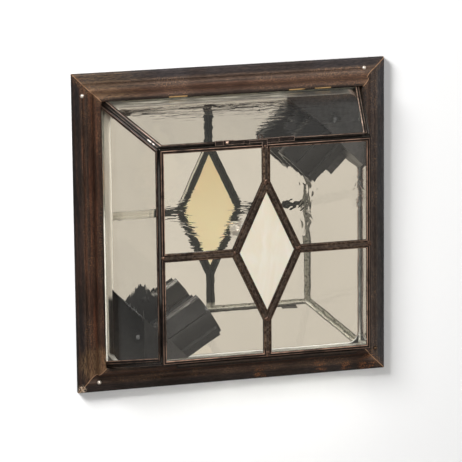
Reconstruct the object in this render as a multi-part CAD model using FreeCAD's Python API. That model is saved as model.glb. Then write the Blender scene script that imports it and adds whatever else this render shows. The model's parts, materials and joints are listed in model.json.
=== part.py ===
import FreeCAD, Part
import math
import os
from FreeCAD import Vector

# A square leaded-glass ceiling light. The ceiling is the plane z = 0 and every level is measured
# down from it. The latch is on the -Y side of the box and the door hinges on the +Y side.

# Whole light
frame_side = 304.8
light_height = 120.0
moulding_width = 24.3
box_foot_level = 12.4
box_taper = 26.3
door_inset = 1.8
door_rise = 4.4
door_set_back = 1.1
overrun = 2.0

# Leading: every pane has its own U-channel with a rounded face
channel_width = 3.85
channel_depth = 4.2
channel_web = 0.9
edge_round_drop = 1.3
lip_round_drop = 0.55
glass_thickness = 2.6
glass_play = 0.05
ridge_play = 0.12
seam_radius = 0.8

# Diamond in the middle of the door
diamond_width = 60.0
diamond_height = 128.0

# Moulded square frame
frame_wall = 1.2
band_level = 5.2
band_width = 9.0
edge_radius = 1.5
hollow_level = 4.1
hollow_reach = 12.4
crown_level = 16.6
crown_reach = 23.1
crown_radius = 1.1
seat_play = 0.05
seat_width = 4.6

# Round-head screws that hold the frame to the pan
frame_screw_end_gap = 20.4
frame_screw_inset = 9.3
frame_screw_head_radius = 2.1
frame_screw_head_height = 1.5
frame_screw_radius = 1.2
screw_play = 0.05

# Pan and mirror
pan_wall = 1.0
flange_inset = 2.4
flange_width = 28.5
pan_draft = 3.2
pan_corner_radius = 12.0
mirror_level = 22.0
mirror_thickness = 1.0
mirror_inset = 0.8
mirror_bend_radius = 2.6
boss_top_radius = 3.2
boss_foot_radius = 6.5
boss_level = 2.7

# Crossbar and threaded nipple
strap_length = 104.0
strap_width = 19.0
strap_thickness = 1.6
box_screw_spacing = 79.4
slot_length = 19.0
slot_width = 4.8
nipple_radius = 5.1
nipple_bore_radius = 3.6
nipple_length = 27.0
locknut_across = 16.0
locknut_height = 3.2
cap_nut_radius = 6.6
cap_nut_height = 8.0
cap_nut_straight_share = 0.6
thread_play = 0.03
ground_screw_place = 20.0
ground_screw_radius = 1.9
ground_head_radius = 4.0
ground_head_height = 2.2
ground_screw_length = 7.0

# Lampholders on corner brackets
bracket_corner_gap = 50.2
bracket_foot_width = 66.0
bracket_top_level = 82.0
bracket_foot_reach = 22.0
bracket_sheet = 1.0
bracket_wall_gap = 0.6
rivet_spacing = 40.0
rivet_reach = 13.0
rivet_radius = 1.6
rivet_head_radius = 3.0
rivet_head_height = 1.3
socket_level = 58.0
socket_offset = 11.5
socket_reach = 44.0
socket_turns = (13.5, 1.0)
socket_radius = 20.6
socket_wall = 5.4
socket_mouth_depth = 3.0
shell_radius = 13.3
shell_sheet = 0.55
shell_length = 23.0
shell_floor_hole_radius = 6.5
socket_depth = 26.0
pad_width = 16.0
pad_height = 1.0
pad_end_gap = 2.4
pad_turn = 45.0
pocket_radius = 5.0
pocket_depth = 6.0
contact_radius = 4.0
contact_sheet = 0.5
contact_height = 5.8
contact_width = 4.0
socket_screw_radius = 1.6
socket_screw_floor = 3.0
socket_screw_head_radius = 3.4
socket_screw_head_height = 1.8

# Rubber bushings where the lampholder leads pass through the mirror
bushing_reach = 17.0
bushing_hole_radius = 4.0
bushing_bore_radius = 2.2
bushing_flange_radius = 5.6
bushing_flange_height = 1.1

# Hinge along the +Y edge of the door
hinge_tube_radius = 2.0
hinge_bore_radius = 1.25
hinge_rod_radius = 1.15
hinge_end_inset = 30.0
hinge_edge_gap = 0.1
hinge_end_gap = 0.4
knuckle_radius = 1.85
knuckle_length = 15.0
knuckle_leaf = 0.8
knuckle_leaf_drop = 8.0
rod_head_radius = 1.75
rod_head_length = 0.7
web_thickness = 1.2

# Latch on the -Y rim
latch_pivot_x = -36.0
latch_inset = 0.4
latch_base_start = -47.3
latch_base_length = 18.0
latch_base_width = 4.2
latch_base_sheet = 0.8
latch_stop_length = 7.5
latch_stop_height = 2.6
rim_play = 0.05
pivot_radius = 0.9
pivot_head_radius = 1.75
pivot_head_height = 0.9
latch_sheet = 0.8
latch_play = 0.1
arm_width = 3.6
arm_run = 16.0
step_run = 4.0
hook_lift = 0.35
hook_width = 2.6
finger_width = 4.6
finger_overlap = 1.3
stud_x = -1.6
stud_inset = 2.2
stud_neck_radius = 0.8
stud_head_radius = 1.5
stud_head_height = 0.9
stud_foot_radius = 1.3
stud_foot_height = 0.25
slot_play = 0.25
loop_x = -5.9
loop_wire_radius = 0.55
loop_radius = 1.9
keeper_start = -3.5
keeper_length = 31.7
keeper_height = 2.4
keeper_ledge = 16.5

# Sides and levels worked out from the values above
frame_half = frame_side / 2
box_foot_side = frame_side - 2 * moulding_width
box_rim_side = box_foot_side - 2 * box_taper
box_rim_level = light_height - door_rise
door_side = box_rim_side - 2 * door_inset
door_half = door_side / 2
frame_screw_along = frame_half - frame_screw_end_gap
flange_side = frame_side - 2 * flange_inset
pan_mouth_side = flange_side - 2 * flange_width
pan_floor_side = pan_mouth_side - 2 * pan_draft
mirror_side = pan_mouth_side - 2 * mirror_inset
bracket_distance = mirror_side * math.sqrt(0.5) - bracket_corner_gap
pocket_place = socket_reach - socket_depth - pocket_depth
socket_screw_length = pocket_place - socket_screw_floor
hinge_tube_length = door_side - 2 * hinge_end_inset
latch_line = box_rim_side / 2 - latch_inset
door_middle_level = light_height - channel_depth / 2
glass_depth = (channel_depth - glass_thickness) / 2
box_slope = math.atan((box_foot_side - box_rim_side) / 2 / (box_rim_level - box_foot_level))
rim_top_level = box_rim_level - edge_round_drop * math.sin(box_slope)
stand_level = box_foot_level - (channel_depth - edge_round_drop) * math.sin(box_slope)
pan_floor_level = mirror_level - mirror_thickness
X = Vector(1, 0, 0)
Y = Vector(0, 1, 0)
Z = Vector(0, 0, 1)
ORIGIN = Vector(0, 0, 0)
SIDES = ("latch", "right", "hinge", "left")


# Shared shapes
def box(x0, x1, y0, y1, top, bottom):
    """A block between two levels below the ceiling."""
    return Part.makeBox(x1 - x0, y1 - y0, bottom - top, Vector(x0, y0, -bottom))


def rod(radius, top, bottom, x=0, y=0):
    """An upright cylinder between two levels."""
    return Part.makeCylinder(radius, bottom - top, Vector(x, y, -bottom))


def rod_along_x(radius, start, end, y, level):
    return Part.makeCylinder(radius, end - start, Vector(start, y, -level), X)


def dome(radius, height, level, x=0, y=0):
    """A round head that swells downwards from a level."""
    ball_radius = (radius ** 2 + height ** 2) / (2 * height)
    ball = Part.makeSphere(ball_radius, Vector(x, y, ball_radius - height - level))
    return ball.common(rod(radius, level, level + height, x, y))


def plate(points, thickness):
    """A flat plate from its outline, thickened upwards along local Z."""
    outline = Part.makePolygon(list(points) + [points[0]])
    return Part.Face(outline).extrude(Z * thickness)


def turned(points):
    """A solid turned about the X axis from (x, radius) points."""
    outline = [Vector(x, radius, 0) for x, radius in points]
    return Part.Face(Part.makePolygon(outline + outline[:1])).revolve(ORIGIN, X, 360)


def arc(first, middle, last):
    return Part.Arc(first, middle, last).toShape()


def rounded_square(side, radius, level):
    """A square outline with round corners at a level below the ceiling."""
    half = side / 2
    straight = half - radius
    diagonal = straight + radius * math.sqrt(0.5)
    edges = []
    for turn in range(4):
        corner = [Vector(half, straight, -level), Vector(diagonal, diagonal, -level)]
        corner.append(Vector(straight, half, -level))
        corner.append(Vector(-straight, half, -level))
        for point in corner:
            angle = math.pi / 2 * turn
            x, y = point.x, point.y
            point.x = x * math.cos(angle) - y * math.sin(angle)
            point.y = x * math.sin(angle) + y * math.cos(angle)
        edges.append(arc(*corner[:3]))
        edges.append(Part.makeLine(corner[2], corner[3]))
    return Part.Wire(edges)


def square_slab(side, radius, top, bottom):
    return Part.Face(rounded_square(side, radius, bottom)).extrude(Z * (bottom - top))


def turned_copy(shape, quarter_turns):
    copy = shape.copy()
    copy.rotate(ORIGIN, Z, 90 * quarter_turns)
    return copy


def in_plane(shape, origin, across, up, outward):
    """Move a shape from a pane's own plane to its place on the light."""
    rows = []
    for axis in ("x", "y", "z"):
        rows += [getattr(vector, axis) for vector in (across, up, outward, origin)]
    moved = shape.copy()
    moved.Placement = FreeCAD.Placement(FreeCAD.Matrix(*rows)).multiply(moved.Placement)
    return moved


def save(name, shapes):
    solids = list(shapes) if isinstance(shapes, (list, tuple)) else [shapes]
    shape = solids[0] if len(solids) == 1 else Part.makeCompound(solids)
    shape.exportStep("parts/" + name + ".step")


# Leaded panes, drawn in the pane's own plane with the outer crest at local z = 0
def inset(corners, distance):
    """The outline moved inwards, for corners given anticlockwise."""
    moved = []
    for index, corner in enumerate(corners):
        before = (corner - corners[index - 1]).normalize()
        after = (corners[(index + 1) % len(corners)] - corner).normalize()
        inward_before = Z.cross(before)
        inward_after = Z.cross(after)
        middle = (inward_before + inward_after).normalize()
        moved.append(corner + middle * (distance / middle.dot(inward_before)))
    return moved


def shoulder(width, drop):
    """Middle of the arc that falls by drop over width from a level crest."""
    radius = (width ** 2 + drop ** 2) / (2 * drop)
    half_angle = math.asin(width / radius) / 2
    return radius * math.sin(half_angle), radius * (1 - math.cos(half_angle))


def channel_strip(start, end):
    """One straight length of U-channel with a rounded outer and inner face."""
    along = (end - start).normalize()
    inward = Z.cross(along)
    middle = channel_width / 2
    edge_run, edge_fall = shoulder(middle, edge_round_drop)
    lip_run, lip_fall = shoulder(middle, lip_round_drop)

    def at(across, depth):
        return start - along * overrun + inward * across - Z * depth

    def face_arcs(side):
        def level(depth):
            return depth if side > 0 else channel_depth - depth
        edge = at(0, level(edge_round_drop))
        crest = at(middle, level(0))
        lip = at(channel_width, level(lip_round_drop))
        rise = arc(edge, at(middle - edge_run, level(edge_fall)), crest)
        fall = arc(crest, at(middle + lip_run, level(lip_fall)), lip)
        return edge, rise, fall, lip

    edge_out, rise_out, fall_out, lip_out = face_arcs(1)
    edge_in, rise_in, fall_in, lip_in = face_arcs(-1)
    slot = [lip_out, at(channel_width, glass_depth), at(channel_web, glass_depth)]
    far_side = channel_depth - glass_depth
    slot += [at(channel_web, far_side), at(channel_width, far_side), lip_in]
    lines = [Part.makeLine(first, last) for first, last in zip(slot, slot[1:])]
    edges = [rise_out, fall_out, *lines, fall_in, rise_in, Part.makeLine(edge_in, edge_out)]
    section = Part.Wire(Part.__sortEdges__(edges))
    return Part.Face(section).extrude(along * ((end - start).Length + 2 * overrun))


def channel_ring(corners):
    """U-channel all round a pane: straight strips that meet in mitres."""
    outer = inset(corners, -overrun)
    inner = inset(corners, channel_width + overrun)
    strips = []
    for index, corner in enumerate(corners):
        following = (index + 1) % len(corners)
        wedge = [outer[index], outer[following], inner[following], inner[index]]
        region = plate(wedge, channel_depth + 2 * overrun)
        region.translate(-Z * (channel_depth + overrun))
        strips.append(channel_strip(corner, corners[following]).common(region).Solids[0])
    return strips


def pane(corners):
    """The glass, which stands in the slot of its channel."""
    glass = plate(inset(corners, channel_web + glass_play), glass_thickness)
    glass.translate(-Z * (glass_depth + glass_thickness))
    return glass


# Glass box
def box_half(level):
    """Half the width across the outer crests of the box at a level."""
    return box_foot_side / 2 - (level - box_foot_level) * math.tan(box_slope)


def side_placement():
    outward = Vector(0, -math.cos(box_slope), -math.sin(box_slope))
    up = Vector(0, math.sin(box_slope), -math.cos(box_slope))
    return Vector(0, -box_half(box_foot_level), -box_foot_level), -X, up, outward


def ridge_setback():
    """How far each pane stops short of the ridge line so that neighbours just meet."""
    return (channel_depth - edge_round_drop) / math.cos(box_slope) + ridge_play


def side_corners(run_on=0):
    """The outline of a side, which can run on below the foot."""
    rise = (box_rim_level - box_foot_level) / math.cos(box_slope)
    foot = box_foot_side / 2 - ridge_setback()
    top = box_rim_side / 2 - ridge_setback()
    wide = foot + (foot - top) * run_on / rise
    return [Vector(-wide, -run_on, 0), Vector(wide, -run_on, 0), Vector(top, rise, 0), Vector(-top, rise, 0)]


def standing(shape):
    """Cut what runs on below the foot, level with the frame's seat."""
    reach = frame_half
    kept = box(-reach, reach, -reach, reach, stand_level, light_height)
    return in_plane(shape, *side_placement()).common(kept).Solids[0]


def side_panes():
    """Each side has channel up its ridges and along its rim, and stands on the seat."""
    corners = side_corners(2 * channel_width)
    strips = [standing(strip) for strip in channel_ring(corners)[1:]]
    glass = standing(pane(corners))
    for turn, side in enumerate(SIDES):
        save("side_channel_" + side, [turned_copy(strip, turn) for strip in strips])
        save("side_glass_" + side, turned_copy(glass, turn))


def corner_seams():
    """A round solder seam along each ridge, in the groove between two channels."""
    origin, across, up, outward = side_placement()
    corners = side_corners()
    foot = origin + across * corners[0].x
    top = origin + across * corners[3].x + up * corners[3].y
    along = (top - foot).normalize()
    away = along.cross(outward)
    if away.x * foot.x < 0:
        away = -away
    start = foot - outward * edge_round_drop + away * (seam_radius + glass_play)
    ridge = Vector(foot.x / abs(foot.x), -1, 0)
    cross = (abs(start.x) + abs(start.y)) / 2
    axis_start = Vector(ridge.x * cross, ridge.y * cross, start.z)
    seam = Part.makeCylinder(seam_radius, (top - foot).Length, axis_start, along)
    return [turned_copy(seam, turn) for turn in range(4)]


# Door
def door_placement():
    return Vector(0, door_set_back, -light_height), X, -Y, -Z


def quadrant_corners():
    """The top right quarter of the door beside the diamond, seen from below."""
    wide = diamond_width / 2
    tall = diamond_height / 2
    outline = [(wide, 0), (door_half, 0), (door_half, door_half), (0, door_half), (0, tall)]
    return [Vector(x, y, 0) for x, y in outline]


def mirrored(corners, across, up):
    """The outline reflected into another quarter, kept anticlockwise."""
    flipped = [Vector(corner.x * across, corner.y * up, 0) for corner in corners]
    return flipped if across * up > 0 else flipped[::-1]


def door_panes():
    places = {"latch_right": (1, 1), "latch_left": (-1, 1), "hinge_left": (-1, -1), "hinge_right": (1, -1)}
    for name, (across, up) in places.items():
        corners = mirrored(quadrant_corners(), across, up)
        save("door_channel_" + name, [in_plane(strip, *door_placement()) for strip in channel_ring(corners)])
        save("door_glass_" + name, in_plane(pane(corners), *door_placement()))
    wide = diamond_width / 2
    tall = diamond_height / 2
    corners = [Vector(0, -tall, 0), Vector(wide, 0, 0), Vector(0, tall, 0), Vector(-wide, 0, 0)]
    save("diamond_channel", [in_plane(strip, *door_placement()) for strip in channel_ring(corners)])
    save("diamond_glass", in_plane(pane(corners), *door_placement()))


# Moulded frame
def frame_section():
    """The ogee section as a bent sheet, at x = 0 on the latch side."""
    def at(reach, level):
        return Vector(0, reach - frame_half, -level)

    hollow_run = hollow_reach - band_width
    hollow_drop = band_level - hollow_level
    hollow_radius = (hollow_run ** 2 + hollow_drop ** 2) / (2 * hollow_drop)
    hollow_centre = (hollow_reach, hollow_level + hollow_radius)
    run = crown_reach - hollow_reach
    rise = crown_level - hollow_centre[1]
    crown_sweep = (run ** 2 + rise ** 2 - hollow_radius ** 2) / (2 * (hollow_radius + rise))
    crown_centre = (crown_reach, crown_level - crown_sweep)
    lean = math.atan2(crown_centre[1] - hollow_centre[1], run)

    def on_hollow(angle):
        reach = hollow_centre[0] + hollow_radius * math.sin(angle)
        return at(reach, hollow_centre[1] - hollow_radius * math.cos(angle))

    def on_crown(angle):
        reach = crown_centre[0] - crown_sweep * math.sin(angle)
        return at(reach, crown_centre[1] + crown_sweep * math.cos(angle))

    start_angle = -math.atan2(hollow_run, hollow_radius - hollow_drop)
    meet_angle = math.pi / 2 + lean
    leg_top_level = crown_level - crown_radius
    leg_top = frame_half - box_half(leg_top_level) - seat_play
    bend_share = 1 - math.sqrt(0.5)
    corner = at(leg_top - crown_radius * bend_share, crown_level - crown_radius * bend_share)
    seat_level = stand_level - seat_play
    seat = frame_half - box_half(seat_level) - seat_play
    bend = edge_radius * bend_share
    halfway = (start_angle + meet_angle) / 2
    band_edge = [at(0, band_level - edge_radius), at(bend, band_level - bend), at(edge_radius, band_level)]
    edges = [Part.makeLine(at(0, 0), at(0, band_level - edge_radius))]
    edges.append(arc(*band_edge))
    edges.append(Part.makeLine(at(edge_radius, band_level), at(band_width, band_level)))
    edges.append(arc(at(band_width, band_level), on_hollow(halfway), on_hollow(meet_angle)))
    edges.append(arc(on_hollow(meet_angle), on_crown(meet_angle / 2), on_crown(0)))
    edges.append(Part.makeLine(on_crown(0), at(leg_top - crown_radius, crown_level)))
    edges.append(arc(at(leg_top - crown_radius, crown_level), corner, at(leg_top, leg_top_level)))
    edges.append(Part.makeLine(at(leg_top, leg_top_level), at(seat, seat_level)))
    edges.append(Part.makeLine(at(seat, seat_level), at(seat + seat_width, seat_level)))
    return Part.Wire(edges)


def frame_bar():
    """One bar of the frame on the latch side, with mitred ends and its screw hole."""
    sheet = frame_section().makeOffset2D(-frame_wall, 0, True, True)
    length = frame_side + 2 * overrun
    sheet.translate(-X * (length / 2))
    bar = sheet.extrude(X * length)
    reach = frame_half + overrun
    wedge = plate([ORIGIN, Vector(-reach, -reach, 0), Vector(reach, -reach, 0)], crown_level + 2 * overrun)
    wedge.translate(-Z * (crown_level + overrun))
    bar = bar.common(wedge).Solids[0]
    y = frame_screw_inset - frame_half
    return bar.cut(rod(frame_screw_radius + screw_play, 0, crown_level, frame_screw_along, y))


def frame_screw():
    """A round-head screw on the latch side, through the bar into the pan's boss."""
    x = frame_screw_along
    y = frame_screw_inset - frame_half
    head_level = band_level + screw_play
    shank = rod(frame_screw_radius, 0, head_level, x, y)
    return shank.fuse(dome(frame_screw_head_radius, frame_screw_head_height, head_level, x, y))


def moulded_frame():
    bar = frame_bar()
    screw = frame_screw()
    for turn, side in enumerate(SIDES):
        save("frame_bar_" + side, turned_copy(bar, turn))
    save("frame_screws", [turned_copy(screw, turn) for turn in range(4)])


# Corner brackets: local X runs along the diagonal towards the middle of the light
def at_corner(shape, corner):
    """Place a shape drawn for a corner bracket on the left or the right corner."""
    placed = shape.copy()
    placed.translate(-X * bracket_distance)
    placed.rotate(ORIGIN, Z, -45 + 180 * corner)
    return placed


def inner_half(level):
    """Half the width between the inner crests of the box at a level."""
    return box_half(level) - channel_depth / math.cos(box_slope)


def corner_half(level):
    """Half the width that a corner's upright has between the two walls at a level."""
    return (inner_half(level) - bracket_wall_gap) / math.sqrt(0.5) - bracket_distance - bracket_sheet


def rivet_places():
    return [(rivet_reach, side * rivet_spacing / 2) for side in (-1, 1)]


def corner_holes(radius, places, corner):
    deep = mirror_level + overrun
    return [at_corner(rod(radius, 0, deep, x, y), corner) for x, y in places]


def socket_bracket():
    """A folded corner cover: foot, floor behind it, upright from wall to wall, and lid."""
    sheet = bracket_sheet
    foot_half = bracket_foot_width / 2
    floor_level = mirror_level + sheet
    foot = box(-sheet, bracket_foot_reach, -foot_half, foot_half, mirror_level, floor_level)
    floor = square_slab(mirror_side, pan_corner_radius, mirror_level, floor_level)
    floor.rotate(ORIGIN, Z, 45)
    floor.translate(X * bracket_distance)
    floor = floor.common(box(-bracket_distance, 0, -bracket_distance, bracket_distance, 0, light_height))
    low = corner_half(mirror_level)
    high = corner_half(bracket_top_level)
    lowest = bracket_top_level
    outline = [Vector(0, -low, -mirror_level), Vector(0, low, -mirror_level)]
    outline += [Vector(0, high, -lowest), Vector(0, -high, -lowest)]
    upright = Part.Face(Part.makePolygon(outline + outline[:1])).extrude(-X * sheet)
    corners = [Vector(-sheet, -high, -lowest), Vector(-sheet, high, -lowest)]
    lid = plate(corners + [Vector(-sheet - high, 0, -lowest)], sheet)
    bracket = upright.fuse([foot, floor, lid]).removeSplitter()
    for x, y in rivet_places():
        bracket = bracket.cut(rod(rivet_radius + screw_play, mirror_level, floor_level, x, y))
    bracket = bracket.cut(rod(bushing_hole_radius, mirror_level, floor_level, -bushing_reach))
    start = Vector(-overrun, socket_offset, -socket_level)
    return bracket.cut(Part.makeCylinder(socket_screw_radius + screw_play, 2 * overrun, start, X))


def bracket_rivet(x, y):
    under = pan_floor_level - pan_wall
    over = mirror_level + bracket_sheet
    shank = rod(rivet_radius, under, over, x, y)
    tail = rod(rivet_head_radius, under - rivet_head_height, under, x, y)
    return shank.fuse([tail, dome(rivet_head_radius, rivet_head_height, over, x, y)])


def lead_bushing():
    """A grommet through the corner cover's floor, the mirror and the pan."""
    under = pan_floor_level - pan_wall
    over = mirror_level + bracket_sheet
    x = -bushing_reach
    body = rod(bushing_hole_radius - screw_play, under, over, x)
    upper = rod(bushing_flange_radius, over, over + bushing_flange_height, x)
    lower = rod(bushing_flange_radius, under - bushing_flange_height, under, x)
    ends = 2 * bushing_flange_height
    bore = rod(bushing_bore_radius, under - ends, over + ends, x)
    return body.fuse([upper, lower]).cut(bore)


# Lampholders: local X is the lamp's axis, from the bracket out of the mouth
def on_bracket(shape, turn):
    placed = shape.copy()
    placed.rotate(ORIGIN, Z, turn)
    placed.translate(Vector(0, socket_offset, -socket_level))
    return placed


def lampholder_body(turn):
    """A moulded cup with four raised pads along it, cut flat where it meets the bracket."""
    behind = -socket_radius
    body = turned([(behind, 0), (behind, socket_radius), (socket_reach, socket_radius), (socket_reach, 0)])
    pad_out = socket_radius + pad_height
    pad_length = socket_reach - pad_end_gap - behind
    pads = []
    for side in (-1, 1):
        pad = Part.makeBox(pad_length, pad_width, 2 * pad_out, Vector(behind, -pad_width / 2, -pad_out))
        pad.rotate(ORIGIN, X, side * pad_turn)
        pads.append(pad)
    body = on_bracket(body.fuse(pads).cut(lampholder_well()), turn)
    block = 4 * socket_radius
    block_start = Vector(-block, socket_offset - block / 2, -socket_level - block / 2)
    thread_start = Vector(0, socket_offset, -socket_level)
    thread = Part.makeCylinder(socket_screw_radius + screw_play, socket_screw_length, thread_start, X)
    return body.cut([Part.makeBox(block, block, block, block_start), thread])


def lampholder_well():
    """The space in the cup: a pocket for the contact, a bore for the shell, and the mouth."""
    floor_place = socket_reach - socket_depth
    mouth_place = socket_reach - socket_mouth_depth
    beyond = socket_reach + overrun
    bore = shell_radius + shell_sheet + screw_play
    mouth = socket_radius - socket_wall
    profile = [(pocket_place, 0), (pocket_place, pocket_radius), (floor_place, pocket_radius)]
    profile += [(floor_place, bore), (mouth_place, bore), (mouth_place, mouth)]
    return turned(profile + [(beyond, mouth), (beyond, 0)])


def screw_shell():
    """The brass shell of a medium screw base, with a floor ring."""
    start = socket_reach - socket_depth
    end = start + shell_length
    floor = start + shell_sheet
    outer = shell_radius + shell_sheet
    hole = shell_floor_hole_radius
    profile = [(start, hole), (start, outer), (end, outer), (end, shell_radius)]
    return turned(profile + [(floor, shell_radius), (floor, hole)])


def centre_contact():
    """A round foot with a bent spring tongue, in the pocket under the shell."""
    start = pocket_place
    foot = Part.makeCylinder(contact_radius, contact_sheet, Vector(start, 0, 0), X)
    half = contact_radius - contact_sheet
    side = -contact_width / 2
    low = Vector(start + contact_sheet, side, -half)
    bend = Vector(start + contact_height, side, half / 2)
    tip = Vector(start + contact_height - contact_sheet, side, half)
    sheet = X * contact_sheet
    outline = [low, bend, tip, tip - sheet, bend - sheet * 2, low + Z * (2 * contact_sheet)]
    tongue = Part.Face(Part.makePolygon(outline + outline[:1])).extrude(Y * contact_width)
    return foot.fuse(tongue)


def lampholder_screw():
    """Fixes the lampholder from behind the bracket."""
    behind = -bracket_sheet
    centre = Vector(behind, socket_offset, -socket_level)
    shank = Part.makeCylinder(socket_screw_radius, socket_screw_length, centre, X)
    height = socket_screw_head_height
    return shank.fuse(Part.makeCylinder(socket_screw_head_radius, height, centre - X * height, X))


def lampholders():
    for corner, turn in enumerate(socket_turns):
        number = str(corner + 1)
        save("lampholder_body_" + number, at_corner(lampholder_body(turn), corner))
        save("screw_shell_" + number, at_corner(on_bracket(screw_shell(), turn), corner))
        save("centre_contact_" + number, at_corner(on_bracket(centre_contact(), turn), corner))
        save("lampholder_bracket_" + number, at_corner(socket_bracket(), corner))
    rivets = [bracket_rivet(x, y) for x, y in rivet_places()]
    save("bracket_rivets", [at_corner(rivet, corner) for corner in (0, 1) for rivet in rivets])
    save("lampholder_screws", [at_corner(lampholder_screw(), corner) for corner in (0, 1)])
    save("lead_bushings", [at_corner(lead_bushing(), corner) for corner in (0, 1)])


# Pan, mirror and what hangs them
def back_holes():
    holes = [rod(nipple_radius + thread_play, 0, mirror_level + overrun)]
    for corner in (0, 1):
        holes += corner_holes(rivet_radius + screw_play, rivet_places(), corner)
        holes += corner_holes(bushing_hole_radius, [(-bushing_reach, 0)], corner)
    return holes


def tray(mouth, floor, radius, depth):
    return Part.makeLoft([rounded_square(mouth, radius, 0), rounded_square(floor, radius, depth)], True, True)


def ceiling_pan():
    """A pressed hat-section pan, open to the ceiling, with raised screw bosses in its flange."""
    thin = 2 * pan_wall
    inner_radius = pan_corner_radius - pan_wall
    outer = tray(pan_mouth_side, pan_floor_side, pan_corner_radius, pan_floor_level)
    hollow = tray(pan_mouth_side - thin, pan_floor_side - thin, inner_radius, pan_floor_level - pan_wall)
    flange = square_slab(flange_side, pan_corner_radius, 0, pan_wall)
    x = frame_screw_along
    y = frame_screw_inset - frame_half
    boss = Part.makeCone(boss_top_radius, boss_foot_radius, boss_level, Vector(x, y, -boss_level))
    depth = boss_level - pan_wall
    radii = boss_top_radius - pan_wall, boss_foot_radius - pan_wall
    dimple = Part.makeCone(*radii, depth, Vector(x, y, -depth))
    screw_hole = rod(frame_screw_radius + screw_play, 0, boss_level + overrun, x, y)
    pan = flange.fuse([outer] + [turned_copy(boss, turn) for turn in range(4)])
    pan = pan.cut([hollow] + [turned_copy(dimple, turn) for turn in range(4)])
    return pan.cut(back_holes() + [turned_copy(screw_hole, turn) for turn in range(4)])


def mirror_tray(inset_by, radius, top, bottom):
    """A solid whose walls lie along the panes, with its lower edge rounded over."""
    corner = pan_corner_radius - inset_by
    outlines = []
    for level in (top, bottom):
        half = mirror_side / 2 - inset_by + (mirror_level - level) * math.tan(box_slope)
        outlines.append(rounded_square(2 * half, corner, level))
    solid = Part.makeLoft(outlines, True, True)
    low = [edge for edge in solid.Edges if abs(edge.BoundBox.ZMax + bottom) < seat_play]
    return solid.makeFillet(radius, low)


def mirror_reflector():
    """A polished sheet over the pan, turned up along the panes to the frame's seat."""
    outer = mirror_tray(0, mirror_bend_radius, stand_level, mirror_level)
    inner_bend = mirror_bend_radius - mirror_thickness
    inner = mirror_tray(mirror_thickness, inner_bend, stand_level - overrun, pan_floor_level)
    return outer.cut([inner] + back_holes())


def mounting_strap():
    """The flat crossbar that is screwed to the ceiling box, with two slots."""
    strap = box(-strap_length / 2, strap_length / 2, -strap_width / 2, strap_width / 2, 0, strap_thickness)
    half = (slot_length - slot_width) / 2
    for side in (-1, 1):
        centre = side * box_screw_spacing / 2
        slot = box(centre - half, centre + half, -slot_width / 2, slot_width / 2, 0, strap_thickness)
        ends = [rod(slot_width / 2, 0, strap_thickness, centre + end * half) for end in (-1, 1)]
        strap = strap.cut(slot.fuse(ends))
    ground = rod(ground_screw_radius + screw_play, 0, strap_thickness, ground_screw_place)
    return strap.cut([rod(nipple_radius + thread_play, 0, strap_thickness), ground])


def nipple():
    return rod(nipple_radius, 0, nipple_length).cut(rod(nipple_bore_radius, 0, nipple_length))


def nipple_locknut():
    reach = locknut_across / 2 / math.cos(math.pi / 6)
    angles = [math.pi / 3 * n for n in range(6)]
    corners = [Vector(reach * math.cos(angle), reach * math.sin(angle), 0) for angle in angles]
    nut = plate(corners, locknut_height)
    nut.translate(-Z * (strap_thickness + locknut_height))
    return nut.cut(rod(nipple_radius + thread_play, 0, nipple_length))


def nipple_cap_nut():
    """The small domed nut that holds the pan and the mirror up."""
    straight = cap_nut_height * cap_nut_straight_share
    nut = rod(cap_nut_radius, mirror_level, mirror_level + straight)
    nut = nut.fuse(dome(cap_nut_radius, cap_nut_height - straight, mirror_level + straight))
    return nut.cut(rod(nipple_radius + thread_play, mirror_level, nipple_length + thread_play))


def ground_screw():
    shank = rod(ground_screw_radius, 0, ground_screw_length, ground_screw_place)
    head = rod(ground_head_radius, strap_thickness, strap_thickness + ground_head_height, ground_screw_place)
    return shank.fuse(head)


# Hinge
def hinge_place():
    """Where the hinge axis runs: its y and its level."""
    return door_half + door_set_back + hinge_edge_gap + hinge_tube_radius, door_middle_level


def hinge_tube():
    """The long tube on the door, with the web that joins it to the channel's edge."""
    y, level = hinge_place()
    half = hinge_tube_length / 2
    tube = rod_along_x(hinge_tube_radius, -half, half, y, level)
    edge = door_half + door_set_back
    web = box(-half, half, edge, y, level - web_thickness / 2, level + web_thickness / 2)
    return tube.fuse(web).cut(rod_along_x(hinge_bore_radius, -half, half, y, level))


def hinge_knuckle():
    """The fixed knuckle at the right end, with a leaf down the outside of the box."""
    y, level = hinge_place()
    start = hinge_tube_length / 2 + hinge_end_gap
    end = start + knuckle_length
    tube = rod_along_x(knuckle_radius, start, end, y, level)
    leaf_level = box_rim_level - knuckle_leaf_drop
    thick = knuckle_leaf / math.cos(box_slope)
    outline = []
    for depth, out in ((level, 0), (leaf_level, 0), (leaf_level, thick), (level, thick)):
        outline.append(Vector(start, box_half(depth) + rim_play + out, -depth))
    leaf = Part.Face(Part.makePolygon(outline + outline[:1])).extrude(X * knuckle_length)
    return tube.fuse(leaf).cut(rod_along_x(hinge_bore_radius, start, end, y, level))


def hinge_rod():
    y, level = hinge_place()
    end = hinge_tube_length / 2 + hinge_end_gap + knuckle_length
    pin = rod_along_x(hinge_rod_radius, -end, end, y, level)
    heads = [rod_along_x(rod_head_radius, end, end + rod_head_length, y, level),
             rod_along_x(rod_head_radius, -end - rod_head_length, -end, y, level)]
    return pin.fuse(heads)


def hinge():
    knuckle = hinge_knuckle()
    save("hinge_tube", hinge_tube())
    save("hinge_rod", hinge_rod())
    save("hinge_knuckles", [knuckle, knuckle.mirror(ORIGIN, X)])


# Latch
def latch_levels():
    """Top of the base plate, of the arm and of the hook over the door."""
    base = rim_top_level + rim_play
    arm = base + latch_base_sheet + latch_play
    hook = light_height + hook_lift
    return base, arm, hook


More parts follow.
